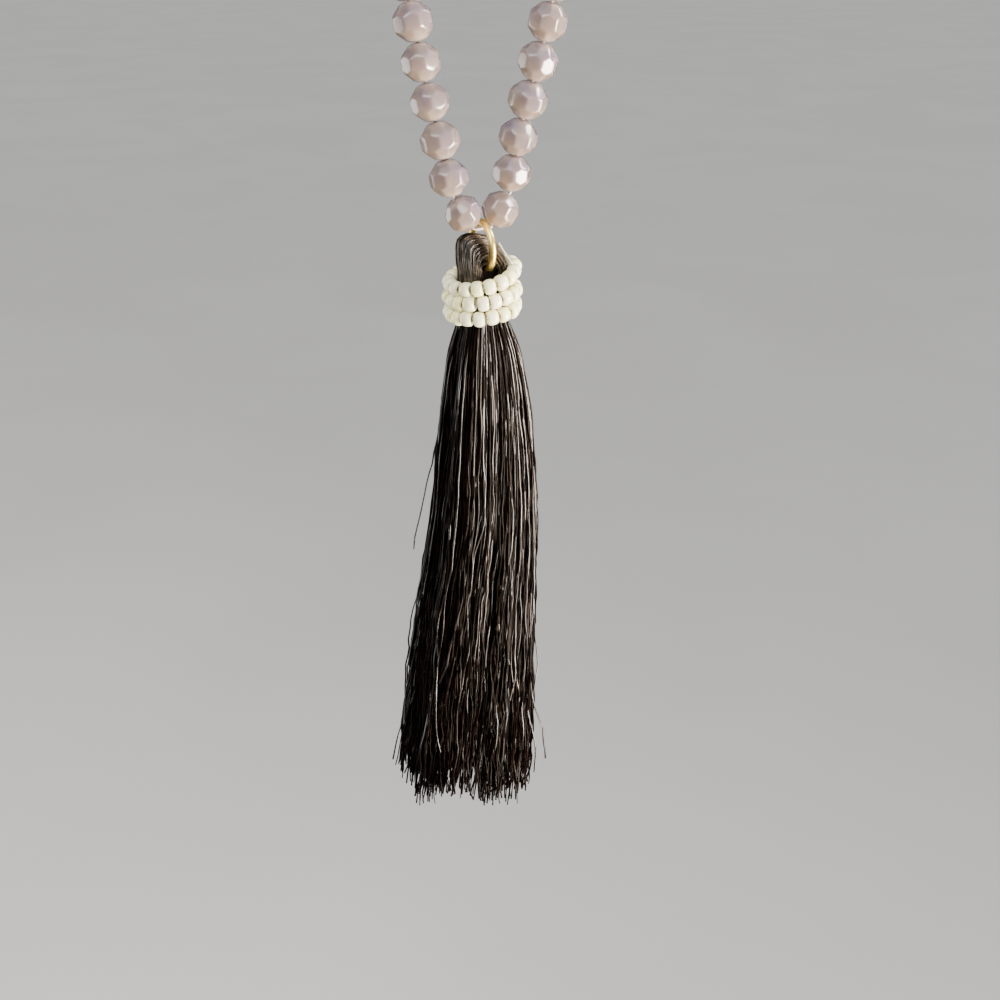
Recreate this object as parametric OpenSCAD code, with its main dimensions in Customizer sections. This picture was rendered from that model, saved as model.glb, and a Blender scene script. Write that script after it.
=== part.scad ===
// Tassel necklace: a long loop of faceted stone beads on a thread, with a
// thread tassel hung from its lowest point on a gold ring.
// The origin is the nape, where the loop hangs. +Z is up, the wearer faces -Y,
// and +X is the right of someone who looks at the wearer.

/* [Beads] */
// Number of stone beads on each side of the loop
beads_per_side = 54; // [52:1:55]
// Width of a stone bead across its belt facets
bead_w = 7.7; // [7.2:0.1:7.7]
// Length of a stone bead along its hole
bead_len = 7.6; // [7.2:0.1:7.6]
// Diameter of a bead's drilled hole
bore_d = 1.1; // [1:0.05:1.4]
// Diameter of the stringing thread
thread_d = 0.7; // [0.5:0.05:0.75]

/* [Ring] */
// Outside diameter of the ring
ring_od = 12.3; // [12:0.1:12.6]
// Diameter of the ring's wire
wire_d = 1.5; // [1.3:0.1:1.6]
// Turn of the ring and its two nearest beads about the vertical, in degrees
ring_turn = 26; // [0:1:40]

/* [Collar] */
// Outside diameter of the collar of seed beads
collar_od = 18.2; // [17.8:0.1:19]
// Diameter of a seed bead
seed_d = 3.5; // [3.3:0.1:3.6]

/* [Tassel] */
// Length of the skirt from the bottom of the collar to the longest tips
skirt_len = 128; // [110:1:150]
// Number of locks around the skirt
lock_count = 14; // [10:1:18]

/* [Hidden] */

// Clear space between neighbouring pieces
gap = 0.12;
// The loop's left and right sides, as signs of X
left = -1;
right = 1;

// Bead facets: the belt has one facet in each eighth of a turn, and the rows
// above and below it lie at these latitudes and distances from the centre
belt_facets = 8;
shoulder_lat = 43;
shoulder_r = 0.987 * bead_w / 2;
crown_lat = 70;
crown_r = 1.013 * bead_w / 2;

// Lowest pair of beads, in the plane that is turned with the ring
low_bead_x = 4.4;
// Ring's wire centre below the middle of the lowest beads, and its circle
ring_top = 2.3;
ring_r = (ring_od - wire_d) / 2;
ring_mid = -(ring_top + ring_r);
// Thread where the ring hangs on it
thread_low = ring_top + wire_d / 2 + thread_d / 2 + 0.06;
thread_flat = 1.9;
low_seat = norm([low_bead_x - thread_flat, thread_low]);
// Spare length at the bend above a lowest bead
bend_seat = 4.25;

// Route of one side of the loop, from above its lowest bead to the nape.
// side: distance from the middle line; sway: offset of that line along X;
// turn: offset left by the turned ring, towards the viewer on the left and away
// on the right; back: distance behind the tassel; rise: height above the lowest
// beads
route_rows = [
    // side, sway, turn, back, rise
    [6.2, -0.4, 2.8, 0, 8],
    [8.4, -0.5, 2.3, 0, 16],
    [10.7, -0.4, 1.6, 0, 25],
    [14, 0, 0.8, 0, 40],
    [19.4, 0, 0.2, 1, 62],
    [27.2, 0, 0, 4, 94],
    [38, 0, 0, 14, 135],
    [48, 0, 0, 33, 176],
    [57, 0, 0, 62, 216],
    [62.5, 0, 0, 97, 251],
    [60, 0, 0, 135, 279],
    [42, 0, 0, 167, 296],
    [15.5, 0, 0, 180, 302.5],
    [0, 0, 0, 181.5, 303],
];
nape = [0, 181.5, 303];
route_steps = 10;

// Rows of seed beads: height of the row's middle and its tilt, right side up
collar_rows = [
    // height, tilt
    [-14.3, 11],
    [-17.9, 7.5],
    [-21.4, 6],
];
collar_r = (collar_od - seed_d) / 2;
neck_r = collar_r - seed_d / 2 - 3 * gap;
// Top and bottom of the tassel's neck, inside the collar
neck_top = -13;
collar_low = -23.5;

// Skirt outline: drop is a share of its length; shift is its middle's offset
// along the line of the lowest beads; width and depth are half sizes; core is
// the share of them that is solid behind the locks
skirt_rows = [
    // drop, shift, width, depth, core
    [0, 0, 5.2, 5.2, 1],
    [0.02, 0.1, 6.8, 6.3, 0.97],
    [0.065, 0.3, 8.4, 7.5, 0.93],
    [0.17, 0.5, 10.6, 9, 0.88],
    [0.36, 0.2, 13, 10.5, 0.87],
    [0.59, -2.6, 15.4, 12, 0.87],
    [0.84, -5, 17.8, 13.4, 0.87],
    [1, -6.6, 18.6, 14, 0.87],
];

function unit(v) = v / norm(v);
function turned(p) = [
    p[0] * cos(ring_turn) - p[1] * sin(ring_turn),
    p[0] * sin(ring_turn) + p[1] * cos(ring_turn),
    p[2],
];

// Thread points at the bottom of one side, and the line through its lowest bead
function low_point(side) = turned([side * thread_flat, 0, -thread_low]);
function low_bead(side) = turned([side * low_bead_x, 0, 0]);
function bend_point(side) =
    low_bead(side) + bend_seat * unit(low_bead(side) - low_point(side));

// Smooth curve through the rows of the route
function route_points(side) = concat(
    [bend_point(side)],
    [for (r = route_rows) [side * r[0] + r[1], side * r[2] + r[3], r[4]]]);
function curve(a, b, c, d, t) =
    b + t * ((c - a) / 2 + t * ((2 * a - 5 * b + 4 * c - d) / 2
    + t * (3 * b - a - 3 * c + d) / 2));
function dense(p) = let (last = len(p) - 1) concat(
    [for (i = [0:last - 1])
        let (before = i > 0 ? p[i - 1] : 2 * p[0] - p[1],
             after = i + 2 <= last ? p[i + 2] : [-p[last - 1][0], p[last - 1][1], p[last - 1][2]])
        for (j = [0:route_steps - 1])
            curve(before, p[i], p[i + 1], after, j / route_steps)],
    [p[last]]);
function lengths(p) = [for (i = 0, s = 0; i < len(p);
    s = s + (i + 1 < len(p) ? norm(p[i + 1] - p[i]) : 0), i = i + 1) s];
function at_length(p, s, want) = [for (axis = [0:2])
    lookup(want, [for (i = [0:len(p) - 1]) [s[i], p[i][axis]]])];

// Thread points between the beads of one side, from the ring up to the nape
function thread_points(side) =
    let (p = dense(route_points(side)), s = lengths(p), total = s[len(s) - 1],
         pitch = (total - bend_seat) / (beads_per_side - 1.5))
    concat([low_point(side), bend_point(side)],
        [for (k = [0:beads_per_side - 3])
            at_length(p, s, bend_seat + (k + 0.5) * pitch)
                + [0.15 * sin(k * 137 + side * 40), 0, 0]],
        [p[len(p) - 1]]);
left_points = thread_points(left);
right_points = thread_points(right);

// One faceted bead, its hole along Z
module facet_row(latitude, distance, start) {
    across = distance / cos(latitude);
    along = distance / sin(latitude);
    intersection_for (k = [0:belt_facets / 2 - 1])
        rotate([90, 0, start + k * 360 / belt_facets])
            linear_extrude(4 * bead_w, center = true)
                polygon([[across, 0], [0, along], [-across, 0], [0, -along]]);
}

module bead() {
    difference() {
        intersection() {
            rotate([0, 0, 180 / belt_facets])
                cylinder(h = bead_len, r = bead_w / 2 / cos(180 / belt_facets),
                         center = true, $fn = belt_facets);
            facet_row(shoulder_lat, shoulder_r, 180 / belt_facets);
            facet_row(crown_lat, crown_r, 0);
        }
        cylinder(h = 2 * bead_len, d = bore_d, center = true, $fn = 24);
    }
}

// A bead on the thread between two of its points, at a distance from the first
module strung(from, to, seat, spin, size) {
    way = unit(to - from);
    translate(from + seat * way)
        rotate([0, acos(way[2]), atan2(way[1], way[0])])
            rotate([0, 0, spin])
                scale(size)
                    bead();
}

module strand(points, side) {
    for (k = [0:beads_per_side - 1]) {
        half = norm(points[k + 1] - points[k]) / 2;
        seat = k == 0 ? low_seat : k == 1 ? bend_seat : half;
        size = 0.982 + 0.012 * sin(k * 101 + side * 80);
        strung(points[k], points[k + 1], seat, k * 52 + side * 17, size);
    }
}

module hung() {
    translate(-nape)
        children();
}

module bead_strand_left() {
    color("lavender")
        hung()
            strand(left_points, left);
}

module bead_strand_right() {
    color("lavender")
        hung()
            strand(right_points, right);
}

// The thread: one closed tube along the points of both sides
thread_sides = 6;
function section(before, here, after) =
    let (t = unit(unit(here - before) + unit(after - here)),
         bend = sqrt(1 / 2 + unit(here - before) * unit(after - here) / 2),
         u = unit(cross([0, 1, 0], t)), v = cross(t, u))
    [for (k = [0:thread_sides - 1])
        let (a = 360 * k / thread_sides)
            here + thread_d / 2 * (u * cos(a) + v * sin(a) / bend)];

module bead_thread() {
    n = beads_per_side;
    loop = concat([for (k = [n:-1:0]) left_points[k]],
                  [for (k = [0:n - 1]) right_points[k]]);
    m = len(loop);
    rings = [for (i = [0:m - 1])
        section(loop[(i + m - 1) % m], loop[i], loop[(i + 1) % m])];
    corners = [for (ring = rings) for (p = ring) p];
    faces = [for (i = [0:m - 1]) for (k = [0:thread_sides - 1])
        let (a = i * thread_sides, b = ((i + 1) % m) * thread_sides,
             next = (k + 1) % thread_sides)
            for (f = [[a + k, b + k, b + next], [a + k, b + next, a + next]]) f];
    color("ivory")
        hung()
            polyhedron(corners, faces);
}

// Everything below the thread hangs in the plane that is turned with the ring
module pendant() {
    hung()
        rotate([0, 0, ring_turn])
            children();
}

module ring_shape(tube_d) {
    translate([0, 0, ring_mid])
        rotate([0, 90, 0])
            rotate_extrude($fn = 64)
                translate([ring_r, 0])
                    circle(d = tube_d, $fn = 24);
}

module jump_ring() {
    color("goldenrod")
        pendant()
            ring_shape(wire_d);
}

// Head of the tassel: the hank fills the ring, swells on both sides of it and
// narrows into the collar. Upper and lower swelling of each side
left_swells = [
    // side, height, half sizes across, along the ring and up
    [-2.6, -7.2, 3.2, 4, 2.7],
    [-2.9, -9.9, 3.4, 4.6, 2.6],
];
right_swells = [
    [1.4, -7.7, 2.2, 3.3, 2.2],
    [2.2, -10, 2.8, 4.4, 2.3],
];

module swell(s) {
    translate([s[0], 0, s[1]])
        scale([s[2], s[3], s[4]])
            sphere(r = 1, $fn = 20);
}

module head_half(swells) {
    hull() {
        swell(swells[0]);
        swell(swells[1]);
    }
    hull() {
        swell(swells[1]);
        translate([0, 0, neck_top - 0.2])
            cylinder(h = 0.2, r = neck_r, $fn = 32);
    }
}

// Skirt: a core and a ring of locks that spread and end unevenly
function skirt_at(drop) = [for (column = [1:4])
    lookup(drop, [for (r = skirt_rows) [r[0], r[column]]])];
lock_stops = [-0.06, 0, 0.065, 0.2, 0.42, 0.7, 1];

module slice(x, y, z, turn, half_w, half_d) {
    translate([x, y, z])
        rotate([0, 0, turn])
            scale([half_w, half_d])
                cylinder(h = 0.3, r = 1, $fn = 10);
}

module lock(k) {
    turn = 360 * k / lock_count + 5 * sin(k * 97);
    length = 1 - 0.035 + 0.03 * sin(k * 143);
    for (i = [0:len(lock_stops) - 2])
        hull()
            for (stop = [lock_stops[i], lock_stops[i + 1]]) {
                drop = max(stop, 0) * length;
                size = skirt_at(drop);
                sway = turn + 6 * stop * sin(k * 61);
                lock_w = 0.25 * size[1] * (0.9 + 0.25 * stop);
                lock_d = 0.23 * size[2] * (1 + 0.15 * sin(k * 83));
                slice(size[0] + (size[1] - lock_d) * cos(sway),
                      (size[2] - lock_d) * sin(sway),
                      collar_low - skirt_len * (stop < 0 ? stop : drop),
                      atan2(size[2] * cos(sway), -size[1] * sin(sway)),
                      lock_w, lock_d);
            }
}

module skirt_core() {
    core_stops = [0, 0.065, 0.17, 0.36, 0.59, 0.84, 0.95];
    for (i = [0:len(core_stops) - 2])
        hull()
            for (drop = [core_stops[i], core_stops[i + 1]])
                let (size = skirt_at(drop))
                    translate([size[0], 0, collar_low - skirt_len * drop])
                        scale([size[1], size[2], 1])
                            cylinder(h = 0.3, r = size[3], $fn = 28);
}

module tassel() {
    color([0.07, 0.06, 0.06])
        pendant()
            difference() {
                union() {
                    head_half(left_swells);
                    head_half(right_swells);
                    translate([0, 0, collar_low])
                        cylinder(h = neck_top - collar_low, r = neck_r, $fn = 32);
                    skirt_core();
                    for (k = [0:lock_count - 1])
                        lock(k);
                }
                ring_shape(wire_d + 2 * gap);
            }
}

module seed_bead_collar() {
    color("ivory")
        pendant()
            for (row = collar_rows)
                translate([0, 0, row[0]])
                    rotate([0, -row[1], 0])
                        rotate_extrude($fn = 64)
                            translate([collar_r, 0])
                                circle(d = seed_d, $fn = 24);
}

bead_strand_left();
bead_strand_right();
bead_thread();
jump_ring();
tassel();
seed_bead_collar();
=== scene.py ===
"""Tassel necklace: a long loop of faceted stone beads on a thread, with a dark
thread tassel that hangs from it on a gold ring, bound by a collar of seed beads.

Sizes are in millimetres up to the point where a mesh is made, and one unit of a
finished mesh is a metre. The pendant hangs from the middle of the two lowest
beads, turned about the vertical."""
import math
import random

import bmesh
import bpy
from mathutils import Matrix, Vector, noise


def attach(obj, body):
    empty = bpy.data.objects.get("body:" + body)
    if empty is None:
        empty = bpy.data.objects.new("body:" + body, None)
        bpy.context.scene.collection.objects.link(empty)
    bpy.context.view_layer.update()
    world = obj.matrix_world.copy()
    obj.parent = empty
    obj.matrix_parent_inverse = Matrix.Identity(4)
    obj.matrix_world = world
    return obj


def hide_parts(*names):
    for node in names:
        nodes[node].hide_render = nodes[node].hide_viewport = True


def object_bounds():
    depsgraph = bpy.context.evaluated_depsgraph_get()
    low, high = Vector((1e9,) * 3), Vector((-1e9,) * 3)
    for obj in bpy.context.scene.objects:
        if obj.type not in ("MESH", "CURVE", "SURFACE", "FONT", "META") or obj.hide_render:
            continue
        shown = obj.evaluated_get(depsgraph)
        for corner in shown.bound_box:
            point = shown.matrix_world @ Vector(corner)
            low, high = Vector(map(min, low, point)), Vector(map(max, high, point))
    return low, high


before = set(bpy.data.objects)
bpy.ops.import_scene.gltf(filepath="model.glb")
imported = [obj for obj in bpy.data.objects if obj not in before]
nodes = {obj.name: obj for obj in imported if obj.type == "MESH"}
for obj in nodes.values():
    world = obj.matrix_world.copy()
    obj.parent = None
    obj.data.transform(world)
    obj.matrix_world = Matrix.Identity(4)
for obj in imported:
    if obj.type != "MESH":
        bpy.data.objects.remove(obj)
cad_box = [list(corner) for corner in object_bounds()]

MM = 0.001
scene = bpy.context.scene

# Sizes of the necklace, as in the part's source. LOW_BEADS is the middle of the
# two lowest beads, and heights in the pendant count from it
RING_TURN = math.radians(26)
LOW_BEADS = Vector((0.0, -181.5, -303.0))
RING_OUTSIDE = 12.3
WIRE = 1.62
RING_TOP = 1.55 + WIRE / 2
RING_R = (RING_OUTSIDE - WIRE) / 2
RING_MID = -RING_TOP - RING_R
THREAD = 0.7
THREAD_LOW = RING_TOP + WIRE / 2 + THREAD / 2 + 0.06
THREAD_FLAT = 1.9
COLLAR_LOW = -23.5
SKIRT_LENGTH = 128.0
LOCKS = 14

# Skirt outline: share of the length, offset along the low beads' line, half
# width and half depth
SKIRT = (
    (-0.06, 0.0, 5.0, 5.0),
    (0.0, 0.0, 5.2, 5.2),
    (0.02, 0.1, 6.8, 6.3),
    (0.065, 0.3, 8.7, 7.7),
    (0.17, 0.5, 11.2, 9.3),
    (0.36, 0.2, 13.6, 10.8),
    (0.59, -2.8, 16.0, 12.3),
    (0.84, -5.3, 18.3, 13.6),
    (1.0, -7.1, 19.2, 14.2),
)


def turned(point):
    """A pendant point, before it is hung: turned with the ring."""
    x, y, z = point
    c, s = math.cos(RING_TURN), math.sin(RING_TURN)
    return Vector((x * c - y * s, x * s + y * c, z))


def hung(point):
    """A pendant point in millimetres, as a place in the part in metres."""
    return (turned(point) + LOW_BEADS) * MM


def blend(a, b, share):
    return a + (b - a) * share


def in_skirt(x, y, drop):
    """A place in the part, by its place across the skirt and a share of its length."""
    return hung((x, y, COLLAR_LOW - SKIRT_LENGTH * drop))


def at_drop(drop):
    """Offset, half width and half depth of the skirt at a share of its length."""
    for upper, lower in zip(SKIRT, SKIRT[1:]):
        if drop <= lower[0]:
            share = max(0.0, (drop - upper[0]) / (lower[0] - upper[0]))
            return [blend(a, b, share) for a, b in zip(upper[1:], lower[1:])]
    return list(SKIRT[-1][1:])


# Node helpers, for geometry and for materials
def add(tree, kind, inputs=None, **settings):
    """Adds a node, with its settings, and its inputs as values or links."""
    node = tree.nodes.new(kind)
    for name, value in settings.items():
        setattr(node, name, value)
    for key, value in (inputs or {}).items():
        if isinstance(value, bpy.types.NodeSocket):
            tree.links.new(value, node.inputs[key])
        else:
            node.inputs[key].default_value = value
    return node


def calc(tree, operation, *values):
    """One number worked out from others."""
    return add(tree, "ShaderNodeMath", dict(enumerate(values)), operation=operation).outputs[0]


def shift(tree, operation, *values):
    """One vector worked out from others."""
    inputs = dict(enumerate(values))
    return add(tree, "ShaderNodeVectorMath", inputs, operation=operation).outputs[0]


def scaled(tree, vector, amount):
    inputs = {0: vector, "Scale": amount}
    return add(tree, "ShaderNodeVectorMath", inputs, operation="SCALE").outputs[0]


def remap(tree, value, low, high, to_low=0.0, to_high=1.0):
    """A smooth step of a value between two limits."""
    inputs = {
        "Value": value,
        "From Min": low,
        "From Max": high,
        "To Min": to_low,
        "To Max": to_high,
    }
    return add(tree, "ShaderNodeMapRange", inputs, interpolation_type="SMOOTHSTEP").outputs[0]


def mix_colour(tree, share, first, second):
    inputs = {0: share, 6: first, 7: second}
    return add(tree, "ShaderNodeMix", inputs, data_type="RGBA").outputs[2]


def xyz(tree, x=0.0, y=0.0, z=0.0):
    """A vector put together from numbers."""
    return add(tree, "ShaderNodeCombineXYZ", {0: x, 1: y, 2: z}).outputs[0]


def parts_of(tree, vector):
    """The three numbers of a vector."""
    return add(tree, "ShaderNodeSeparateXYZ", {0: vector}).outputs


def noisy(tree, place, scale, detail, distortion=0.0):
    """A noise in space, by its outputs."""
    inputs = {"Vector": place, "Scale": scale, "Detail": detail, "Distortion": distortion}
    return add(tree, "ShaderNodeTexNoise", inputs).outputs


def circle(tree, sides, radius):
    inputs = {"Resolution": sides, "Radius": radius}
    return add(tree, "GeometryNodeCurvePrimitiveCircle", inputs).outputs[0]


SOCKETS = {
    float: "NodeSocketFloat",
    int: "NodeSocketInt",
    tuple: "NodeSocketVector",
    type(None): "NodeSocketMaterial",
}


def add_input(tree, title, value):
    """An input socket of the kind that holds the value: four numbers are a colour."""
    kind = SOCKETS[type(value)]
    if isinstance(value, tuple) and len(value) == 4:
        kind = "NodeSocketColor"
    socket = tree.interface.new_socket(
        name=title.replace("_", " "), in_out="INPUT", socket_type=kind
    )
    if value is not None:
        socket.default_value = value


def new_tree(name, **inputs):
    """A geometry tree with named inputs. Returns the tree and its inputs."""
    tree = bpy.data.node_groups.new(name, "GeometryNodeTree")
    face = tree.interface
    face.new_socket(name="Geometry", in_out="INPUT", socket_type="NodeSocketGeometry")
    face.new_socket(name="Geometry", in_out="OUTPUT", socket_type="NodeSocketGeometry")
    for title, value in inputs.items():
        add_input(tree, title, value)
    return tree, tree.nodes.new("NodeGroupInput").outputs


def finish_tree(tree, geometry, material):
    """Ends a tree: instances made real, smooth, with a material."""
    real = add(tree, "GeometryNodeRealizeInstances", {0: geometry}).outputs[0]
    smooth = add(tree, "GeometryNodeSetShadeSmooth", {0: real}).outputs[0]
    last = add(tree, "GeometryNodeSetMaterial", {0: smooth, "Material": material}).outputs[0]
    tree.links.new(last, tree.nodes.new("NodeGroupOutput").inputs[0])


def named(tree, name, kind="FLOAT"):
    return add(tree, "GeometryNodeInputNamedAttribute", {"Name": name}, data_type=kind).outputs[0]


def captured(tree, geometry, domain, value, kind):
    """Holds a field's value on the geometry. Returns the geometry and the value."""
    node = tree.nodes.new("GeometryNodeCaptureAttribute")
    node.domain = domain
    node.capture_items.new(kind, "kept")
    tree.links.new(geometry, node.inputs[0])
    tree.links.new(value, node.inputs[1])
    return node.outputs[0], node.outputs[1]


def stored(tree, geometry, name, value, kind, domain):
    """Writes a value on the geometry under a name."""
    node = add(
        tree,
        "GeometryNodeStoreNamedAttribute",
        {0: geometry, "Name": name, "Value": value},
        data_type=kind,
        domain=domain,
    )
    return node.outputs[0]


def grown(name, mesh, tree, **values):
    """Runs a tree on a mesh and keeps the result as a plain mesh."""
    carrier = bpy.data.objects.new(name + "_guide", mesh)
    scene.collection.objects.link(carrier)
    modifier = carrier.modifiers.new("grow", "NODES")
    modifier.node_group = tree
    for item in tree.interface.items_tree:
        key = item.name.replace(" ", "_")
        if item.in_out == "INPUT" and key in values:
            modifier[item.identifier] = values[key]
    found = carrier.evaluated_get(bpy.context.evaluated_depsgraph_get())
    made = bpy.data.meshes.new_from_object(found)
    bpy.data.objects.remove(carrier)
    made.name = name
    return made


def placed(name, mesh, body, slot, *stands_for):
    """A finished piece on its body."""
    piece = bpy.data.objects.new(name, mesh)
    scene.collection.objects.link(piece)
    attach(piece, body)
    if stands_for:
        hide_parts(*stands_for)


def joined(name, meshes):
    """Several meshes as one, their materials and attributes kept."""
    parts = []
    for mesh in meshes:
        part = bpy.data.objects.new(name, mesh)
        scene.collection.objects.link(part)
        parts.append(part)
    with bpy.context.temp_override(
        active_object=parts[0],
        object=parts[0],
        selected_objects=parts,
        selected_editable_objects=parts,
    ):
        bpy.ops.object.join()
    mesh = parts[0].data
    bpy.data.objects.remove(parts[0])
    return mesh


# Shared shader groups
def new_group(name, outputs, **inputs):
    """A shader group with named inputs. Returns the group, its inputs and its end."""
    group = bpy.data.node_groups.new(name, "ShaderNodeTree")
    for title, value in inputs.items():
        add_input(group, title, value)
    for title, kind in outputs.items():
        group.interface.new_socket(name=title, in_out="OUTPUT", socket_type=kind)
    given = group.nodes.new("NodeGroupInput").outputs
    return group, given, group.nodes.new("NodeGroupOutput").inputs


def mottle_group():
    """Clouds of two colours, with a finer grain laid over them."""
    group, given, end = new_group(
        "mottle",
        {"Color": "NodeSocketColor"},
        Place=(0.0, 0.0, 0.0),
        First=(1.0, 1.0, 1.0, 1.0),
        Second=(0.5, 0.5, 0.5, 1.0),
        Cloud_per_metre=300.0,
        Grain_per_metre=3000.0,
        Grain=0.1,
    )
    cloud = noisy(group, given["Place"], given["Cloud per metre"], 3.0, 0.4)["Fac"]
    fine = noisy(group, given["Place"], given["Grain per metre"], 2.0)["Fac"]
    base = mix_colour(group, remap(group, cloud, 0.36, 0.64), given["First"], given["Second"])
    grain = calc(group, "MULTIPLY", calc(group, "SUBTRACT", fine, 0.5), given["Grain"])
    level = calc(group, "ADD", calc(group, "MULTIPLY", grain, 2.0), 1.0)
    group.links.new(scaled(group, base, level), end["Color"])
    return group


def ply_group():
    """Height of the plies of a twisted thread. Turn holds the cosine and sine of
    the angle round the thread, and the length along it in millimetres."""
    group, given, end = new_group(
        "ply_twist",
        {"Height": "NodeSocketFloat", "Groove": "NodeSocketFloat"},
        Turn=(1.0, 0.0, 0.0),
        Plies=2.0,
        Pitch=2.4,
    )
    part = parts_of(group, given["Turn"])
    angle = calc(group, "ARCTAN2", part[1], part[0])
    along = calc(group, "DIVIDE", calc(group, "MULTIPLY", part[2], 2 * math.pi), given["Pitch"])
    half_plies = calc(group, "MULTIPLY", given["Plies"], 0.5)
    phase = calc(group, "MULTIPLY", calc(group, "ADD", angle, along), half_plies)
    height = calc(group, "ABSOLUTE", calc(group, "SINE", phase))
    group.links.new(height, end["Height"])
    group.links.new(remap(group, height, 0.0, 0.45, 1.0, 0.0), end["Groove"])
    return group


MOTTLE = mottle_group()
PLY = ply_group()


def new_material(name, **constants):
    """A material with its shader's plain values set. Returns it, its tree and shader."""
    material = bpy.data.materials.new(name)
    material.use_nodes = True
    tree = material.node_tree
    shader = tree.nodes["Principled BSDF"]
    for title, value in constants.items():
        shader.inputs[title.replace("_", " ")].default_value = value
    return material, tree, shader


def place_of(tree):
    return add(tree, "ShaderNodeTexCoord").outputs["Object"]


def attribute(tree, name, socket):
    return add(tree, "ShaderNodeAttribute", attribute_name=name).outputs[socket]


def use(tree, group, **inputs):
    node = tree.nodes.new("ShaderNodeGroup")
    node.node_tree = group
    for title, value in inputs.items():
        socket = node.inputs[title.replace("_", " ")]
        if isinstance(value, bpy.types.NodeSocket):
            tree.links.new(value, socket)
        else:
            socket.default_value = value
    return node.outputs


def bump(tree, shader, height, strength, distance):
    """Raises a height in millimetres on the shader's normal."""
    node = add(
        tree,
        "ShaderNodeBump",
        {"Height": height, "Strength": strength, "Distance": distance * MM},
    )
    tree.links.new(node.outputs[0], shader.inputs["Normal"])


def stone_material():
    """Milky lavender chalcedony, paler where the drilled hole shows through, with a painted glow
    of light towards each bead's lower side.
    """
    material, tree, shader = new_material(
        "stone_chalcedony",
        IOR=1.54,
        Subsurface_Weight=1.0,
        Subsurface_Radius=(1.0, 0.86, 0.84),
        Subsurface_Scale=0.005,
        Transmission_Weight=0.35,
        Coat_Weight=0.6,
        Coat_Roughness=0.03,
    )
    place = attribute(tree, "bead_place", "Vector")
    tone = attribute(tree, "tone", "Fac")
    clouds = use(
        tree,
        MOTTLE,
        Place=place_of(tree),
        First=(0.212, 0.170, 0.232, 1.0),
        Second=(0.272, 0.222, 0.210, 1.0),
        Cloud_per_metre=170.0,
        Grain_per_metre=2600.0,
        Grain=0.05,
    )
    warm_stone = (0.31, 0.235, 0.205, 1.0)
    warm = mix_colour(tree, calc(tree, "MULTIPLY", tone, 0.5), clouds["Color"], warm_stone)
    haze = noisy(tree, place, 0.4, 2.0)["Fac"]
    # Painted light: lavender at each bead's upper side, and a paler beige painted towards its
    # lower side as a glow of light gathered in the stone
    towards_painted_glow = {0: place, 1: (-0.4, -0.1, -0.9)}
    low = add(tree, "ShaderNodeVectorMath", towards_painted_glow, operation="DOT_PRODUCT").outputs["Value"]
    low = remap(tree, calc(tree, "ADD", low, calc(tree, "MULTIPLY", haze, 3.0)), -0.5, 5.0)
    # The painted glow is mixed in here: a light beige towards each bead's lower side
    with_painted_glow = mix_colour(tree, calc(tree, "MULTIPLY", low, 0.7), warm, (0.46, 0.345, 0.23, 1.0))
    end = remap(tree, attribute(tree, "bead_end", "Fac"), 2.2, 3.9)
    share = calc(tree, "MULTIPLY", end, calc(tree, "MULTIPLY", haze, 1.1))
    pale = mix_colour(tree, share, with_painted_glow, (0.60, 0.50, 0.46, 1.0))
    tree.links.new(pale, shader.inputs["Base Color"])
    rub = noisy(tree, place, 2.4, 3.0)["Fac"]
    tree.links.new(remap(tree, rub, 0.3, 0.75, 0.10, 0.22), shader.inputs["Roughness"])
    bump(tree, shader, rub, 0.25, 0.02)
    return material


def thread_material(name, dark, light, groove_shade, plies, pitch, height, dullness, shine, **constants):
    """Twisted thread: colour and gloss by strand, painted shade darkening its grooves, and its
    plies as bump.
    """
    material, tree, shader = new_material(name, **constants)
    ply = use(tree, PLY, Turn=attribute(tree, "turn", "Vector"), Plies=plies, Pitch=pitch)
    tone = attribute(tree, "tone", "Fac")
    clouds = use(
        tree,
        MOTTLE,
        Place=place_of(tree),
        First=dark,
        Second=light,
        Cloud_per_metre=420.0,
        Grain_per_metre=5000.0,
        Grain=0.2,
    )
    by_strand = mix_colour(tree, tone, dark, clouds["Color"])
    # Painted shade: the grooves between the plies are darkened towards the groove colour
    colour = mix_colour(tree, calc(tree, "MULTIPLY", ply["Groove"], 0.6), by_strand, groove_shade)
    tree.links.new(colour, shader.inputs["Base Color"])
    dull = remap(tree, tone, 0.15, 0.6, dullness, 0.0)
    in_groove = calc(tree, "MULTIPLY", ply["Groove"], 0.15)
    rough = calc(tree, "ADD", in_groove, calc(tree, "ADD", dull, constants["Roughness"]))
    tree.links.new(rough, shader.inputs["Roughness"])
    if shine:
        tree.links.new(remap(tree, tone, 0.5, 0.82, 0.03, shine), shader.inputs["Coat Weight"])
    bump(tree, shader, ply["Height"], 0.6, height)
    return material


def gold_material():
    """Pale gold plate, rubbed along its wire, a little tarnished in places."""
    material, tree, shader = new_material("gold_plate", Metallic=1.0, IOR=1.5)
    place = place_of(tree)
    clouds = use(
        tree,
        MOTTLE,
        Place=place,
        First=(1.0, 0.75, 0.25, 1.0),
        Second=(0.97, 0.66, 0.16, 1.0),
        Cloud_per_metre=380.0,
        Grain_per_metre=6000.0,
        Grain=0.12,
    )
    tree.links.new(clouds["Color"], shader.inputs["Base Color"])
    rub = noisy(tree, place, 2200.0, 4.0, 1.5)["Fac"]
    tree.links.new(remap(tree, rub, 0.3, 0.75, 0.28, 0.46), shader.inputs["Roughness"])
    bump(tree, shader, rub, 0.35, 0.02)
    return material


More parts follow.
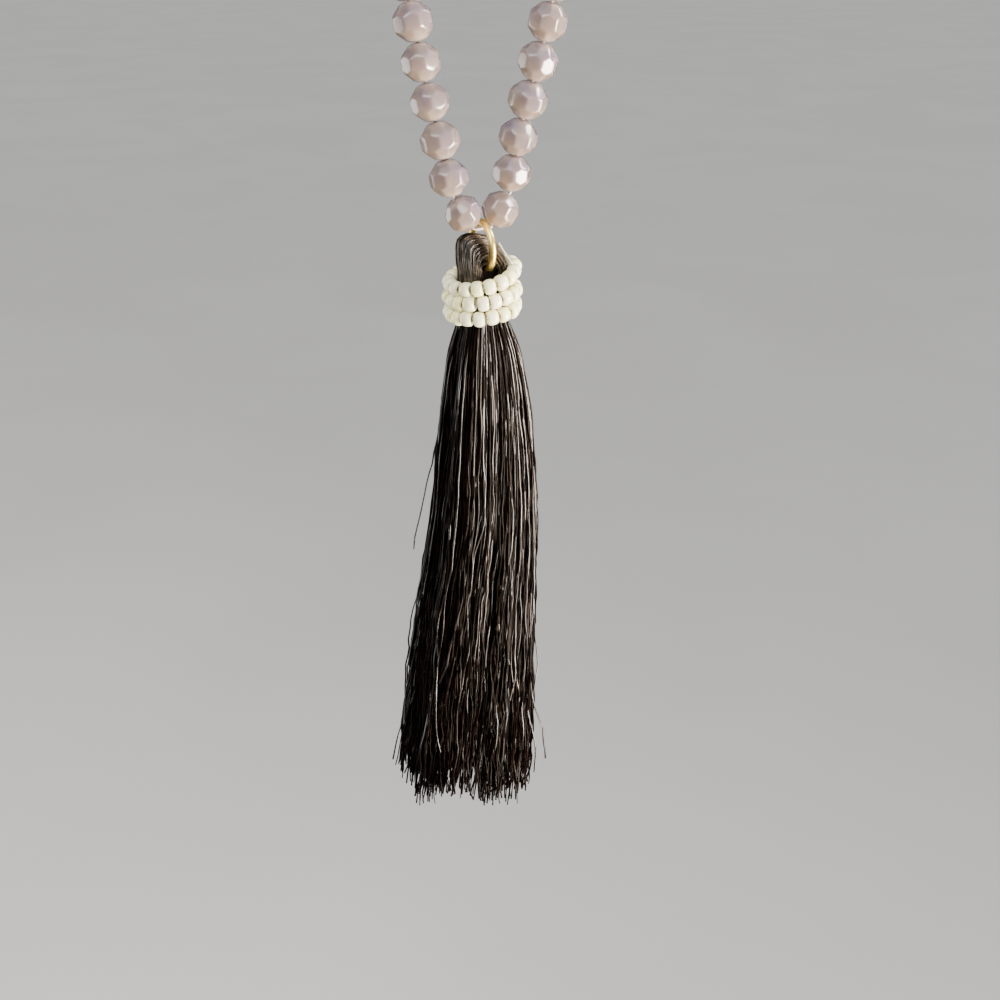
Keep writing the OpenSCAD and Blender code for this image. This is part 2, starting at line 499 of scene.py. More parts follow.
def seed_material():
    """Glossy opaque ivory glass, each bead a shade of its own."""
    material, tree, shader = new_material(
        "seed_glass",
        IOR=1.52,
        Subsurface_Weight=0.5,
        Subsurface_Radius=(1.0, 0.9, 0.7),
        Subsurface_Scale=0.0008,
        Coat_Weight=0.5,
        Coat_Roughness=0.06,
    )
    clouds = use(
        tree,
        MOTTLE,
        Place=place_of(tree),
        First=(0.93, 0.87, 0.40, 1.0),
        Second=(0.98, 0.94, 0.56, 1.0),
        Cloud_per_metre=500.0,
        Grain_per_metre=4500.0,
        Grain=0.06,
    )
    tone = attribute(tree, "tone", "Fac")
    colour = mix_colour(tree, tone, clouds["Color"], (0.96, 0.90, 0.66, 1.0))
    tree.links.new(colour, shader.inputs["Base Color"])
    rub = noisy(tree, place_of(tree), 1500.0, 3.0)["Fac"]
    tree.links.new(remap(tree, rub, 0.3, 0.7, 0.16, 0.34), shader.inputs["Roughness"])
    bump(tree, shader, rub, 0.3, 0.03)
    return material


STONE = stone_material()
GOLD = gold_material()
SEED = seed_material()
DARK_THREAD = thread_material(
    "dark_silky_thread",
    dark=(0.0016, 0.0008, 0.0006, 1.0),
    light=(0.015, 0.0062, 0.0036, 1.0),
    groove_shade=(0.001, 0.0005, 0.0004, 1.0),
    plies=6.0,
    pitch=14.0,
    height=0.012,
    dullness=0.08,
    shine=0.92,
    Roughness=0.16,
    Specular_IOR_Level=0.05,
    Specular_Tint=(1.0, 0.80, 0.64, 1.0),
    Coat_IOR=1.62,
    Coat_Roughness=0.14,
)
HEAD_THREAD = thread_material(
    "dark_thread_gathered",
    dark=(0.014, 0.010, 0.007, 1.0),
    light=(0.13, 0.098, 0.070, 1.0),
    groove_shade=(0.002, 0.001, 0.001, 1.0),
    plies=4.0,
    pitch=7.0,
    height=0.015,
    dullness=0.2,
    shine=0.8,
    Roughness=0.3,
    Specular_IOR_Level=0.15,
    Specular_Tint=(1.0, 0.92, 0.82, 1.0),
    Coat_IOR=1.58,
    Coat_Roughness=0.26,
)
PALE_THREAD = thread_material(
    "pale_twisted_thread",
    dark=(0.62, 0.53, 0.50, 1.0),
    light=(0.80, 0.72, 0.68, 1.0),
    groove_shade=(0.34, 0.27, 0.25, 1.0),
    plies=3.0,
    pitch=2.0,
    height=0.09,
    dullness=0.1,
    shine=0.0,
    Roughness=0.55,
    Subsurface_Weight=0.3,
    Subsurface_Radius=(1.0, 0.8, 0.7),
    Subsurface_Scale=0.0006,
)


# Guide lines for threads. Each has a phase of its own, a step on from the last
PHASE_STEP = 0.618034


def guide_mesh(name, strands):
    """Lines as edges. Each strand is its points in metres, its half thickness in
    millimetres, its tone, and how much it may waver at each end."""
    mesh = bpy.data.meshes.new(name)
    points, edges, thick, tone, phase, loose = [], [], [], [], [], []
    for number, strand in enumerate(strands):
        first = len(points)
        count = len(strand["points"])
        points += [tuple(p) for p in strand["points"]]
        edges += [(first + k, first + k + 1) for k in range(count - 1)]
        thick += [strand["thick"]] * count
        tone += [strand["tone"]] * count
        phase += [(number * PHASE_STEP) % 1.0] * count
        loose += [blend(*strand["loose"], k / (count - 1)) for k in range(count)]
    mesh.from_pydata(points, edges, [])
    for title, values in (("thick", thick), ("tone", tone), ("phase", phase), ("loose", loose)):
        mesh.attributes.new(title, "FLOAT", "POINT").data.foreach_set("value", values)
    return mesh


def thread_tree():
    """Sweeps a thread along each guide line, wavering where it hangs loose."""
    tree, given = new_tree(
        "swept_thread",
        Step=3.0,
        Sides=5,
        Flatness=0.7,
        Waver=0.5,
        Waver_length=16.0,
        Turn_length=24.0,
        Material=None,
    )
    curve = add(tree, "GeometryNodeMeshToCurve", {0: given["Geometry"]}).outputs[0]
    curve = add(tree, "GeometryNodeCurveSplineType", {0: curve}, spline_type="CATMULL_ROM")
    spacing = {0: curve.outputs[0], "Length": calc(tree, "MULTIPLY", given["Step"], MM)}
    curve = add(tree, "GeometryNodeResampleCurve", spacing, mode="LENGTH").outputs[0]
    # Waver: a slow noise along each strand, different for each
    length = add(tree, "GeometryNodeSplineParameter").outputs["Length"]
    length = calc(tree, "DIVIDE", length, MM)
    phase = named(tree, "phase")
    lane = xyz(
        tree,
        calc(tree, "MULTIPLY", phase, 97.0),
        calc(tree, "DIVIDE", length, given["Waver length"]),
        calc(tree, "MULTIPLY", phase, 53.0),
    )
    swing = shift(tree, "SUBTRACT", noisy(tree, lane, 1.0, 2.0)["Color"], (0.5, 0.5, 0.5))
    widest = calc(tree, "MULTIPLY", given["Waver"], 4.0 * MM)
    offset = scaled(tree, swing, calc(tree, "MULTIPLY", widest, named(tree, "loose")))
    curve = add(tree, "GeometryNodeSetPosition", {0: curve, "Offset": offset}).outputs[0]
    # Slow turn of the flat section
    turn = calc(tree, "DIVIDE", calc(tree, "MULTIPLY", length, 2 * math.pi), given["Turn length"])
    turn = calc(tree, "ADD", turn, calc(tree, "MULTIPLY", phase, 40.0))
    curve = add(tree, "GeometryNodeSetCurveTilt", {0: curve, "Tilt": turn}).outputs[0]
    curve, along = captured(tree, curve, "POINT", length, "FLOAT")
    # Section, remembered as cosine and sine
    place = add(tree, "GeometryNodeInputPosition").outputs[0]
    section = circle(tree, given["Sides"], 1.0)
    section, around = captured(tree, section, "POINT", place, "VECTOR")
    flat = shift(tree, "MULTIPLY", place, xyz(tree, 1.0, given["Flatness"], 1.0))
    section = add(tree, "GeometryNodeSetPosition", {0: section, "Position": flat}).outputs[0]
    size = calc(tree, "MULTIPLY", named(tree, "thick"), MM)
    tube = add(
        tree,
        "GeometryNodeCurveToMesh",
        {"Curve": curve, "Profile Curve": section, "Scale": size, "Fill Caps": True},
    ).outputs[0]
    part = parts_of(tree, around)
    both = xyz(tree, part[0], part[1], along)
    tube = stored(tree, tube, "turn", both, "FLOAT_VECTOR", "POINT")
    finish_tree(tree, tube, given["Material"])
    return tree


SWEPT = thread_tree()


# Skirt of the tassel, cut by hand: places round it, in degrees, where it was left
# longer or shorter, how wide each is, and by what share of the length
SKIRT_CUT = ((-40, 30, 0.050), (-50, 12, 0.024), (-115, 22, -0.020), (165, 26, -0.034))
SKIRT_END = 0.966
# Strands start a little above the collar's lower edge, as a share of the length
SKIRT_START = -0.06
STRAND_HALF = 0.3
# Angle from each strand to the next, which spreads any number of them evenly
GOLDEN_ANGLE = 137.508
# Strays: place round the skirt in degrees, share where it leaves, how far it stands
# out, share where it ends, and its turn on the way in degrees
STRAYS = (
    (172, 0.19, 0.24, 0.43, 6),
    (185, 0.60, 0.10, 0.90, -10),
    (-34, 0.76, 0.26, 0.955, 6),
    (-40, 0.80, 0.17, 0.965, -4),
    (12, 0.84, 0.10, 0.95, 8),
)
SMALL_STRAYS = 9


def lock_of(angle):
    """The lock that an angle in degrees lies in, and the offset from its middle."""
    best = None
    for k in range(LOCKS):
        middle = 360 * k / LOCKS + 5 * math.sin(math.radians(97 * k))
        off = (angle - middle + 180) % 360 - 180
        if best is None or abs(off) < abs(best[1]):
            best = (k, off)
    return best


def skirt_strand(rng, angle, layer, ragged):
    """One hanging strand. Layer is its share of the outline, 1 on the outside."""
    lock, off = lock_of(angle)
    length = SKIRT_END + 0.01 * math.sin(math.radians(143 * lock))
    length += rng.uniform(-ragged, 0.35 * ragged)
    for towards, width, more in SKIRT_CUT:
        away = (angle - towards + 180) % 360 - 180
        length += more * math.exp(-((away / width) ** 2))
    half_lock = 200 / LOCKS
    # About a quarter of the strands wander more than the others
    wild = 2.6 if rng.random() < 0.28 else 1.0
    wander = []
    for _ in range(2):
        waves, start = rng.uniform(1.5, 4.5), rng.uniform(0, 2 * math.pi)
        wander.append((waves, start, rng.uniform(0.2, 1.0) * wild))
    stops = 12
    points = []
    for k in range(stops + 1):
        stop = blend(SKIRT_START, 1.0, (k / stops) ** 1.25)
        drop = stop * length if stop > 0 else stop
        offset, width, depth = at_drop(drop)
        hang = max(stop, 0.0)
        middle = angle - off + 6 * hang * math.sin(math.radians(61 * lock))
        sway = sum(a * math.sin(f * 1.6 * hang * math.pi + p) for f, p, a in wander) * 2.2 * hang
        turn = math.radians(middle + off * (1 - 0.12 * hang) + sway)
        hollow = 0.10 * min(1.0, hang * 6) * (min(1.0, abs(off) / half_lock) ** 2)
        ripple = 0.012 * hang * math.sin(wander[0][0] * 5 * hang + wander[1][1])
        reach = layer * (1 - hollow) + ripple
        x = offset + (width * reach - STRAND_HALF) * math.cos(turn)
        y = (depth * reach - STRAND_HALF) * math.sin(turn)
        points.append(in_skirt(x, y, drop))
    return {
        "points": points,
        "thick": rng.uniform(0.19, 0.29),
        "tone": rng.random() ** 1.6,
        "loose": (0.05, 1.2),
    }


def skirt_strands(seed, count, layers, ragged):
    rng = random.Random(seed)
    strands = []
    for k in range(count):
        angle = (k * GOLDEN_ANGLE + rng.uniform(-4, 4)) % 360
        strands.append(skirt_strand(rng, angle, rng.uniform(*layers), ragged))
    return strands


def stray(rng, angle, start, out, end_share, curl):
    """A strand that leaves the skirt: from a share of its length it stands out."""
    points = []
    stops = 14
    for k in range(stops + 1):
        stop = blend(SKIRT_START, end_share, k / stops)
        offset, width, depth = at_drop(stop)
        away = max(0.0, (stop - start) / (end_share - start))
        turn = math.radians(angle + curl * away * away)
        reach = 0.97 + out * math.sin(min(1.0, away * 1.1) * math.pi / 2) ** 1.5
        x = offset + width * reach * math.cos(turn)
        y = depth * reach * math.sin(turn)
        points.append(in_skirt(x, y, stop))
    return {"points": points, "thick": 0.25, "tone": rng.uniform(0.5, 1.0), "loose": (0.1, 0.7)}


def stray_strands():
    rng = random.Random(5)
    strands = [stray(rng, *values) for values in STRAYS]
    for k in range(SMALL_STRAYS):
        start = rng.uniform(0.3, 0.8)
        end = min(1.0, start + rng.uniform(0.15, 0.4))
        angle = k * 41 + rng.uniform(-15, 15)
        out, curl = rng.uniform(0.05, 0.14), rng.uniform(-14, 14)
        strands.append(stray(rng, angle, start, out, end, curl))
    return strands


# Head of the tassel: the hank runs through the ring and down on both sides.
# Places along the lowest and the highest thread, from the ring's middle down
LOWEST = (
    (0.0, -11.5), (0.8, -11.7), (1.0, -12.3), (1.1, -13.0), (1.1, -13.6),
    (1.0, -14.2), (0.9, -15.2), (0.8, -18.5), (0.8, -22.5),
)
HIGHEST = {
    -1: (
        (0.0, -5.2), (1.6, -4.8), (3.7, -4.7), (5.1, -5.6), (5.4, -8.0),
        (5.3, -11.0), (5.0, -13.6), (4.9, -18.0), (4.9, -22.5),
    ),
    1: (
        (0.0, -5.2), (1.2, -5.5), (2.3, -6.2), (3.4, -7.4), (4.3, -9.0),
        (4.8, -11.0), (4.95, -13.6), (4.9, -18.0), (4.9, -22.5),
    ),
}
# Half width of the hank along the ring's line at each of those places
SPREAD = (3.5, 3.5, 3.6, 4.0, 4.5, 4.6, 4.5, 4.4, 4.4)
# Strands over the outside of the hank, and within it
OUTER_HEAD = 150
INNER_HEAD = 110


def head_strand(rng, angle, share):
    high = (share * math.sin(angle) + 1) / 2
    across = share * math.cos(angle)
    lean = rng.uniform(-0.25, 0.25)
    runs = []
    for side in (-1, 1):
        run = []
        for low, top, spread in zip(LOWEST, HIGHEST[side], SPREAD):
            x, z = (blend(a, b, high) for a, b in zip(low, top))
            run.append(hung((side * x, across * spread + lean * side * 0.6, z)))
        runs.append(run)
    points = runs[0][::-1] + runs[1][1:]
    return {
        "points": points,
        "thick": rng.uniform(0.15, 0.23),
        "tone": rng.uniform(0.3, 1.0),
        "loose": (0.45, 0.45),
    }


def head_strands():
    rng = random.Random(11)
    strands = []
    for k in range(OUTER_HEAD):
        angle = 2 * math.pi * k / OUTER_HEAD + rng.uniform(-0.03, 0.03)
        strands.append(head_strand(rng, angle, rng.uniform(0.88, 1.05)))
    for k in range(INNER_HEAD):
        strands.append(head_strand(rng, k * 2.4, rng.uniform(0.55, 0.9)))
    return strands


# Dark heart of the tassel, behind the strands. It has balls within the head:
# place across and height, and half sizes
HEAD_CORES = (
    (-2.8, -9.3, 2.4, 3.4, 3.6),
    (1.9, -10.0, 2.2, 3.2, 3.2),
    (0, -8.3, 2.6, 2.7, 2.3),
)


def core_mesh():
    mesh = bmesh.new()
    sides = 28
    rings = []
    drops = [-0.09, 0.0, 0.05, 0.12, 0.24, 0.4, 0.56, 0.72, 0.84, 0.90]
    for number, drop in enumerate(drops):
        offset, width, depth = at_drop(drop)
        share = 0.80 if drop > 0 else 0.86
        ring = []
        for k in range(sides):
            turn = 2 * math.pi * k / sides
            ripple = 1 + 0.03 * math.sin(5 * turn + number)
            x = offset + width * share * ripple * math.cos(turn)
            y = depth * share * ripple * math.sin(turn)
            ring.append(mesh.verts.new(in_skirt(x, y, drop)))
        rings.append(ring)
    for upper, lower in zip(rings, rings[1:]):
        for k in range(sides):
            n = (k + 1) % sides
            mesh.faces.new((upper[k], lower[k], lower[n], upper[n]))
    mesh.faces.new(rings[0])
    mesh.faces.new(rings[-1][::-1])
    for x, z, rx, ry, rz in HEAD_CORES:
        ball = bmesh.ops.create_uvsphere(mesh, u_segments=16, v_segments=10, radius=1.0)["verts"]
        for vert in ball:
            vert.co = hung((x + rx * vert.co.x, ry * vert.co.y, z + rz * vert.co.z))
    bmesh.ops.recalc_face_normals(mesh, faces=mesh.faces)
    made = bpy.data.meshes.new("tassel_core")
    mesh.to_mesh(made)
    mesh.free()
    made.shade_smooth()
    made.materials.append(DARK_THREAD)
    return made


def tassel():
    outer_strands = skirt_strands(seed=1, count=310, layers=(0.91, 1.01), ragged=0.03)
    inner_strands = skirt_strands(seed=2, count=460, layers=(0.64, 0.91), ragged=0.045)
    skirt = grown(
        "tassel_skirt",
        guide_mesh("skirt_guides", outer_strands + stray_strands()),
        SWEPT,
        Step=2.6,
        Sides=5,
        Flatness=0.65,
        Waver=0.95,
        Waver_length=12.0,
        Turn_length=90.0,
        Material=DARK_THREAD,
    )
    placed("tassel_skirt", skirt, "pendant", "dark_thread", "tassel")
    inner = grown(
        "tassel_inner",
        guide_mesh("inner_guides", inner_strands),
        SWEPT,
        Step=5.5,
        Sides=4,
        Flatness=0.8,
        Waver=0.5,
        Waver_length=20.0,
        Turn_length=26.0,
        Material=DARK_THREAD,
    )
    placed("tassel_inner", inner, "pendant", "dark_thread", "tassel")
    head = grown(
        "tassel_head",
        guide_mesh("head_guides", head_strands()),
        SWEPT,
        Step=1.1,
        Sides=5,
        Flatness=0.85,
        Waver=0.16,
        Waver_length=5.0,
        Turn_length=18.0,
        Material=HEAD_THREAD,
    )
    placed("tassel_head", head, "pendant", "dark_thread", "tassel")
    placed("tassel_core", core_mesh(), "pendant", "dark_thread", "tassel")


tassel()


# Collar of seed beads, and how much a loose bead leans off its round
SEED_ROW_R = 7.35
BEAD_LEAN = 0.0011


def bead_row_tree():
    """One round of seed beads, threaded on a circle."""
    tree, given = new_tree(
        "seed_bead_row",
        Beads=17,
        Row_radius=SEED_ROW_R,
        Bead_width=3.5,
        Bead_length=2.65,
        Hole=0.9,
        Looseness=0.1,
        Height=0.0,
        Tilt=10.0,
        Rise=0.0,
        Spin=0.0,
        Seed=1,
        Material=None,
    )
    # One bead: a rounded square section swept round its hole
    wall = calc(tree, "DIVIDE", calc(tree, "SUBTRACT", given["Bead width"], given["Hole"]), 4.0)
    middle = calc(tree, "ADD", wall, calc(tree, "DIVIDE", given["Hole"], 2.0))
    path = circle(tree, 20, calc(tree, "MULTIPLY", middle, MM))
    section = circle(tree, 14, 1.0)
    place = add(tree, "GeometryNodeInputPosition").outputs[0]
    squarer = shift(tree, "POWER", shift(tree, "ABSOLUTE", place), (0.92, 0.92, 1.0))
    square = shift(tree, "MULTIPLY", shift(tree, "SIGN", place), squarer)
    half = xyz(tree, wall, calc(tree, "MULTIPLY", given["Bead length"], 0.5))
    shape = scaled(tree, shift(tree, "MULTIPLY", square, half), MM)
    section = add(tree, "GeometryNodeSetPosition", {0: section, "Position": shape}).outputs[0]
    swept = {"Curve": path, "Profile Curve": section}
    bead = add(tree, "GeometryNodeCurveToMesh", swept).outputs[0]
    # The round: a circle of places, each a little off its own
    row = add(
        tree,
        "GeometryNodeMeshCircle",
        {"Vertices": given["Beads"], "Radius": calc(tree, "MULTIPLY", given["Row radius"], MM)},
    ).outputs[0]
    low = scaled(tree, (-1.0, -1.0, -1.0), given["Looseness"])
    off = add(tree, "FunctionNodeRandomValue", {"Seed": given["Seed"]}, data_type="FLOAT_VECTOR")
    tree.links.new(low, off.inputs["Min"])
    tree.links.new(scaled(tree, low, -1.0), off.inputs["Max"])
    row_radius = calc(tree, "MULTIPLY", given["Row radius"], MM)
    side = calc(tree, "DIVIDE", parts_of(tree, place)[0], row_radius)
    rightward = calc(tree, "MULTIPLY", side, calc(tree, "MAXIMUM", side, 0.0))
    lift = calc(tree, "MULTIPLY", rightward, given["Rise"])
    up = xyz(tree, z=calc(tree, "MULTIPLY", lift, MM))
    moved = shift(tree, "ADD", scaled(tree, off.outputs[0], MM), up)
    row = add(tree, "GeometryNodeSetPosition", {0: row, "Offset": moved}).outputs[0]
    tangent = shift(tree, "CROSS_PRODUCT", (0.0, 0.0, 1.0), place)
    lean = scaled(tree, off.outputs[0], BEAD_LEAN)
    tangent = shift(tree, "ADD", tangent, lean)
    face = add(tree, "FunctionNodeAlignRotationToVector", {"Vector": tangent}, axis="Z").outputs[0]
    size = add(tree, "FunctionNodeRandomValue", {"Seed": given["Seed"]}, data_type="FLOAT_VECTOR")
    size.inputs["Min"].default_value = (0.95, 0.95, 0.88)
    size.inputs["Max"].default_value = (1.02, 1.02, 1.03)
    beads = add(
        tree,
        "GeometryNodeInstanceOnPoints",
        {"Points": row, "Instance": bead, "Rotation": face, "Scale": size.outputs[0]},
    ).outputs[0]
    shade = add(tree, "FunctionNodeRandomValue", {"Seed": given["Seed"]}, data_type="FLOAT")
    beads = stored(tree, beads, "tone", shade.outputs[1], "FLOAT", "INSTANCE")
    # Spun, tilted and set at its height
    spin = xyz(tree, z=calc(tree, "RADIANS", given["Spin"]))
    tilt = xyz(tree, y=calc(tree, "RADIANS", calc(tree, "MULTIPLY", given["Tilt"], -1.0)))
    height = xyz(tree, z=calc(tree, "MULTIPLY", given["Height"], MM))
    beads = add(tree, "GeometryNodeTransform", {0: beads, "Rotation": spin}).outputs[0]
    beads = add(
        tree,
        "GeometryNodeTransform",
        {0: beads, "Rotation": tilt, "Translation": height},
    ).outputs[0]
    finish_tree(tree, beads, given["Material"])
    return tree


def to_part(mesh):
    """Moves a mesh from the pendant's own place, in metres, to the part."""
    place = Matrix.Translation(LOW_BEADS * MM) @ Matrix.Rotation(RING_TURN, 4, "Z")
    mesh.transform(place)
    return mesh


# Rows: height, tilt, rise on the right, spin, and the seed of its looseness
ROWS = (
    (-14.3, 11.0, 0.95, 3.0, 3),
    (-17.9, 7.5, 0.0, 12.0, 8),
    (-21.4, 6.0, 0.0, 7.0, 12),
)
# Places along the fine end of thread between the ring and the top row
LOOSE_END = (
    (2.2, -3.9, -6.2),
    (2.9, -4.4, -7.6),
    (3.9, -5.0, -9.4),
    (5.0, -5.2, -11.0),
    (5.9, -4.9, -12.4),
)


def collar():
    tree = bead_row_tree()
    rows = []
    for height, tilt, rise, spin, seed in ROWS:
        rows.append(
            grown(
                "seed_row",
                bpy.data.meshes.new("seed_row"),
                tree,
                Height=height,
                Tilt=tilt,
                Rise=rise,
                Spin=spin,
                Seed=seed,
                Looseness=0.12,
                Material=SEED,
            )
        )
    seed_beads = to_part(joined("seed_beads", rows))
    placed("seed_beads", seed_beads, "pendant", "seed_bead", "seed_bead_collar")
    # Thread of each row, and the fine loose end that shows beside the ring
    strands = []
    for height, tilt, *_ in ROWS:
        slope = math.radians(tilt)
        points = []
        steps = 48
        for k in range(steps + 1):
            turn = 2 * math.pi * k / steps
            x, y = SEED_ROW_R * math.cos(turn), SEED_ROW_R * math.sin(turn)
            points.append(hung((x * math.cos(slope), y, height + x * math.sin(slope))))
        strands.append({"points": points, "thick": 0.22, "tone": 0.7, "loose": (0, 0)})
    loose_end = [hung(point) for point in LOOSE_END]
    strands.append({"points": loose_end, "thick": 0.13, "tone": 1.0, "loose": (0.2, 0.2)})
    thread = grown(
        "collar_thread",
        guide_mesh("collar_guides", strands),
        SWEPT,
        Step=0.5,
        Sides=7,
        Flatness=0.95,
        Waver=0.2,
        Waver_length=2.0,
        Turn_length=30.0,
        Material=PALE_THREAD,
    )
    placed("collar_thread", thread, "pendant", "pale_thread")


collar()


# Gold ring: a wire closed on a fine cut
CUT_WIDTH = 0.16
CUT_AT = math.radians(118)


def ring():
    steps, sides = 120, 20
    cut = CUT_WIDTH / RING_R
    mesh = bmesh.new()
    loops = []
    for k in range(steps + 1):
        share = k / steps
        turn = CUT_AT + cut / 2 + (2 * math.pi - cut) * share
        # The wire is rounded a little towards its two ends
        near_end = min(share, 1 - share) * (2 * math.pi - cut) * RING_R
        rounding = 1 - 0.16 * max(0.0, 1 - near_end / 0.12) ** 2
        loop = []
        for j in range(sides):
            angle = 2 * math.pi * j / sides
            wire = WIRE / 2 * rounding * (1 + 0.012 * math.sin(3 * turn + 1))
            radius = RING_R + wire * math.cos(angle)
            y, z = radius * math.sin(turn), RING_MID + radius * math.cos(turn)
            loop.append(mesh.verts.new(hung((wire * math.sin(angle), y, z))))
        loops.append(loop)
    for a, b in zip(loops, loops[1:]):
        for j in range(sides):
            n = (j + 1) % sides
            mesh.faces.new((a[j], a[n], b[n], b[j]))
    mesh.faces.new(loops[0])
    mesh.faces.new(loops[-1])
    bmesh.ops.recalc_face_normals(mesh, faces=mesh.faces)
    made = bpy.data.meshes.new("gold_ring")
    mesh.to_mesh(made)
    mesh.free()
    made.shade_smooth()
    made.materials.append(GOLD)
    placed("gold_ring", made, "pendant", "gold", "jump_ring")


ring()


# Stone beads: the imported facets, with their edges eased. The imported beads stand
# a little apart so that they stay loose. Here they fill a little of that space
BEAD_FILL = 1.022
# A bead swells by this share of the way to a ball of this radius
BEAD_R = 4.1
BEAD_SWELL = 0.09
# Edges sharper than this angle in degrees are rounded
HARD_EDGE = 18
EDGE_ROUND = 0.28
# No edge is rounded and no facet divided nearer than this to the hole's axis
BORE_CLEAR = 0.8
# Facets larger than this area are divided
FACET_AREA = 1.2
# Beads nearer than this to the low beads' middle are the two lowest
LOWEST_REACH = 9


def islands(mesh):
    """The separate beads in a mesh, as lists of vertices."""
    seen = set()
    found = []
    for vert in mesh.verts:
        if vert in seen:
            continue
        stack, island = [vert], []
        seen.add(vert)
        while stack:
            v = stack.pop()
            island.append(v)
            for edge in v.link_edges:
                other = edge.other_vert(v)
                if other not in seen:
                    seen.add(other)
                    stack.append(other)
        found.append(island)
    return found


def stone_strand(node):
    """The beads of one side as one mesh. Returns it and each bead's hole ends."""
    mesh = bmesh.new()
    mesh.from_mesh(nodes[node].data)
    bmesh.ops.remove_doubles(mesh, verts=mesh.verts, dist=0.002 * MM)
    bmesh.ops.dissolve_limit(
        mesh, angle_limit=math.radians(1.5), verts=mesh.verts, edges=mesh.edges
    )
    frames = []
    for island in islands(mesh):
        middle = sum((v.co for v in island), Vector()) / len(island)
        edges = {edge for v in island for edge in v.link_edges}
        longest = max(edges, key=lambda edge: edge.calc_length())
        axis = (longest.verts[1].co - longest.verts[0].co).normalized()
        frames.append((middle, axis, longest.calc_length() / 2))

    def from_axis(point):
        """Distance from the hole's axis, in the bead that the point lies in."""
        middle, axis, _ = min(frames, key=lambda f: (f[0] - point).length)
        off = point - middle
        return (off - axis * off.dot(axis)).length

    hard = []
    for edge in mesh.edges:
        if len(edge.link_faces) == 2 and edge.calc_face_angle() > math.radians(HARD_EDGE):
            if from_axis((edge.verts[0].co + edge.verts[1].co) / 2) > BORE_CLEAR * MM:
                hard.append(edge)
    bmesh.ops.bevel(
        mesh,
        geom=hard,
        offset=EDGE_ROUND * MM,
        offset_type="OFFSET",
        segments=3,
        profile=0.5,
        affect="EDGES",
        clamp_overlap=True,
    )
    facets = [f for f in mesh.faces if f.calc_area() > FACET_AREA * MM * MM]
    facets = [f for f in facets if from_axis(f.calc_center_median()) > BORE_CLEAR * MM]
    for inset in (0.25, 0.5):
        bmesh.ops.inset_individual(mesh, faces=facets, thickness=inset * MM)
    tone = mesh.verts.layers.float.new("tone")
    place = mesh.verts.layers.float_vector.new("bead_place")
    ends = mesh.verts.layers.float.new("bead_end")
    for island in islands(mesh):
        centre = sum((v.co for v in island), Vector()) / len(island)
        middle, axis, _ = min(frames, key=lambda f: (f[0] - centre).length)
        # Each bead has a shade of its own
        shade = noise.noise(middle * 731.0) * 0.5 + 0.5
        # The two lowest stay clear of the ring
        lowest = (middle / MM - LOW_BEADS).length < LOWEST_REACH
        fill = 1.0 if lowest else BEAD_FILL
        for v in island:
            off = (v.co - middle) / MM
            v[tone] = shade
            v[place] = off
            v[ends] = abs(off.dot(axis))
            away = (off - axis * off.dot(axis)).length
            swell = BEAD_SWELL * min(1.0, max(0.0, (away - BORE_CLEAR) / 1.2))
            v.co = middle + off * MM * fill * blend(1.0, BEAD_R / off.length, swell)
    for face in mesh.faces:
        face.smooth = True
    made = bpy.data.meshes.new(node)
    mesh.to_mesh(made)
    mesh.free()
    made.materials.clear()
    made.materials.append(STONE)
    return made, frames


def strands():
    """Both sides of stone beads, and the thread through all of them."""
    ends = []
    for node, name in (
        ("bead_strand_left", "stone_beads_left"),
        ("bead_strand_right", "stone_beads_right"),
    ):
        mesh, frames = stone_strand(node)
        placed(name, mesh, "strands", "stone_bead", node)
        # From the lowest bead up to the nape, by the nearest next bead
        waiting = list(frames)
        here = LOW_BEADS * MM
        run = []
        while waiting:
            near = min(waiting, key=lambda f: (f[0] - here).length)
            waiting.remove(near)
            middle, axis, half = near
            if (middle - axis * half - here).length > (middle + axis * half - here).length:
                axis = -axis
            # Two places in each hole, near its ends
            run += [middle - axis * half * 0.8, middle + axis * half * 0.8]
            here = middle
        ends.append(run)
    low = [hung((-THREAD_FLAT, 0, -THREAD_LOW)), hung((THREAD_FLAT, 0, -THREAD_LOW))]
    nape = Vector((0, 0, 0))
    loop = [nape] + ends[0][::-1] + low + ends[1] + [nape]
    line = {"points": loop, "thick": THREAD / 2, "tone": 0.6, "loose": (0, 0)}
    thread = grown(
        "stringing_thread",
        guide_mesh("thread_guide", [line]),
        SWEPT,
        Step=0.55,
        Sides=9,
        Flatness=1.0,
        Waver=0.0,
        Waver_length=10.0,
        Turn_length=3.0,
        Material=PALE_THREAD,
    )
    placed("stringing_thread", thread, "strands", "pale_thread", "bead_thread")


strands()


# Camera at the photograph's angle: looking down on the bottom of the loop
camera = bpy.data.objects.new("camera", bpy.data.cameras.new("camera"))
scene.collection.objects.link(camera)
camera.location = (0.0039, -0.4417, -0.2454)
camera.rotation_euler = (math.radians(64), 0, 0)
camera.data.sensor_width = 36
camera.data.lens = 43.2
camera.data.clip_start = 0.01
camera.data.clip_end = 100
scene.camera = camera


# Floor and light
FLOOR_BELOW = 0.8
FLOOR_HALF = 40
# Strength of the backdrop as a light, and what the camera sees of it beyond that
SKY_LIGHT = 0.19
SKY_SHOWN = 0.34
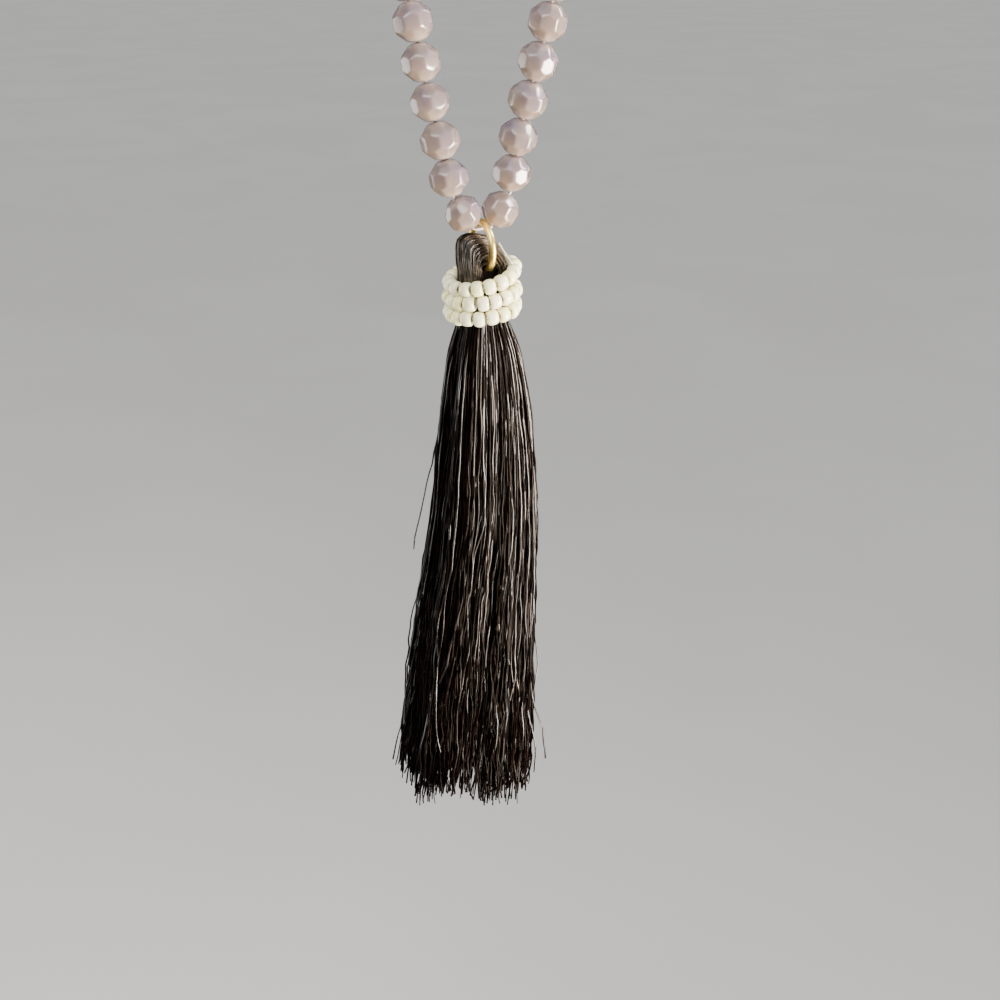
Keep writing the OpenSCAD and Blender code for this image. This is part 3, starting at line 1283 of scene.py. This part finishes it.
# Lamps: name, place from the middle of the tassel, watts, width, height, colour,
# and the angle in degrees that the light spreads to
LAMPS = (
    ("window", (0.80, -0.34, -0.15), 16.0, 0.30, 0.60, (1.0, 0.91, 0.79), 95),
    ("low_window", (0.50, -0.21, -0.36), 0.9, 0.26, 0.20, (1.0, 0.90, 0.78), 80),
    ("high_window", (0.74, 0.20, 0.66), 4.0, 0.26, 0.26, (1.0, 0.97, 0.93), 120),
    ("front_top", (-0.40, -0.78, 0.85), 15.0, 0.9, 0.9, (1.0, 0.98, 0.93), 160),
    ("left_window", (-0.92, 0.32, -0.15), 1.7, 0.8, 0.8, (0.97, 0.98, 1.0), 80),
)


def studio():
    floor_mesh = bpy.data.meshes.new("floor")
    floor_z = cad_box[0][2] - FLOOR_BELOW
    corners = ((-1, -1), (1, -1), (1, 1), (-1, 1))
    floor_mesh.from_pydata(
        [(x * FLOOR_HALF, y * FLOOR_HALF, floor_z) for x, y in corners],
        [],
        [(0, 1, 2, 3)],
    )
    floor = bpy.data.objects.new("floor", floor_mesh)
    scene.collection.objects.link(floor)
    material, tree, shader = new_material("pale_floor", Roughness=0.8)
    clouds = use(
        tree,
        MOTTLE,
        Place=place_of(tree),
        First=(0.80, 0.79, 0.77, 1.0),
        Second=(0.83, 0.82, 0.80, 1.0),
        Cloud_per_metre=2.0,
        Grain_per_metre=500.0,
        Grain=0.02,
    )
    tree.links.new(clouds["Color"], shader.inputs["Base Color"])
    floor_mesh.materials.append(material)
    floor.visible_glossy = False
    world = bpy.data.worlds.new("studio")
    world.use_nodes = True
    # The backdrop shows pale, and gives only a little of the light
    sky = world.node_tree
    sky.nodes["Background"].inputs["Color"].default_value = (0.88, 0.89, 0.91, 1)
    shown = add(sky, "ShaderNodeLightPath").outputs["Is Camera Ray"]
    level = calc(sky, "ADD", calc(sky, "MULTIPLY", shown, SKY_SHOWN), SKY_LIGHT)
    sky.links.new(level, sky.nodes["Background"].inputs["Strength"])
    scene.world = world
    target = hung((0, 0, -60))
    for name, place, power, width, height, colour, spread in LAMPS:
        light = bpy.data.lights.new(name, "AREA")
        light.shape = "RECTANGLE"
        light.energy = power
        light.size = width
        light.size_y = height
        light.color = colour
        light.spread = math.radians(spread)
        lamp = bpy.data.objects.new(name, light)
        scene.collection.objects.link(lamp)
        lamp.location = target + Vector(place)
        lamp.rotation_euler = (-Vector(place)).to_track_quat("-Z", "Y").to_euler()
        lamp.visible_camera = False
    ceiling = bpy.data.lights.new("ceiling", "SUN")
    ceiling.energy = 1.5
    ceiling.angle = math.radians(70)
    scene.collection.objects.link(bpy.data.objects.new("ceiling", ceiling))


studio()
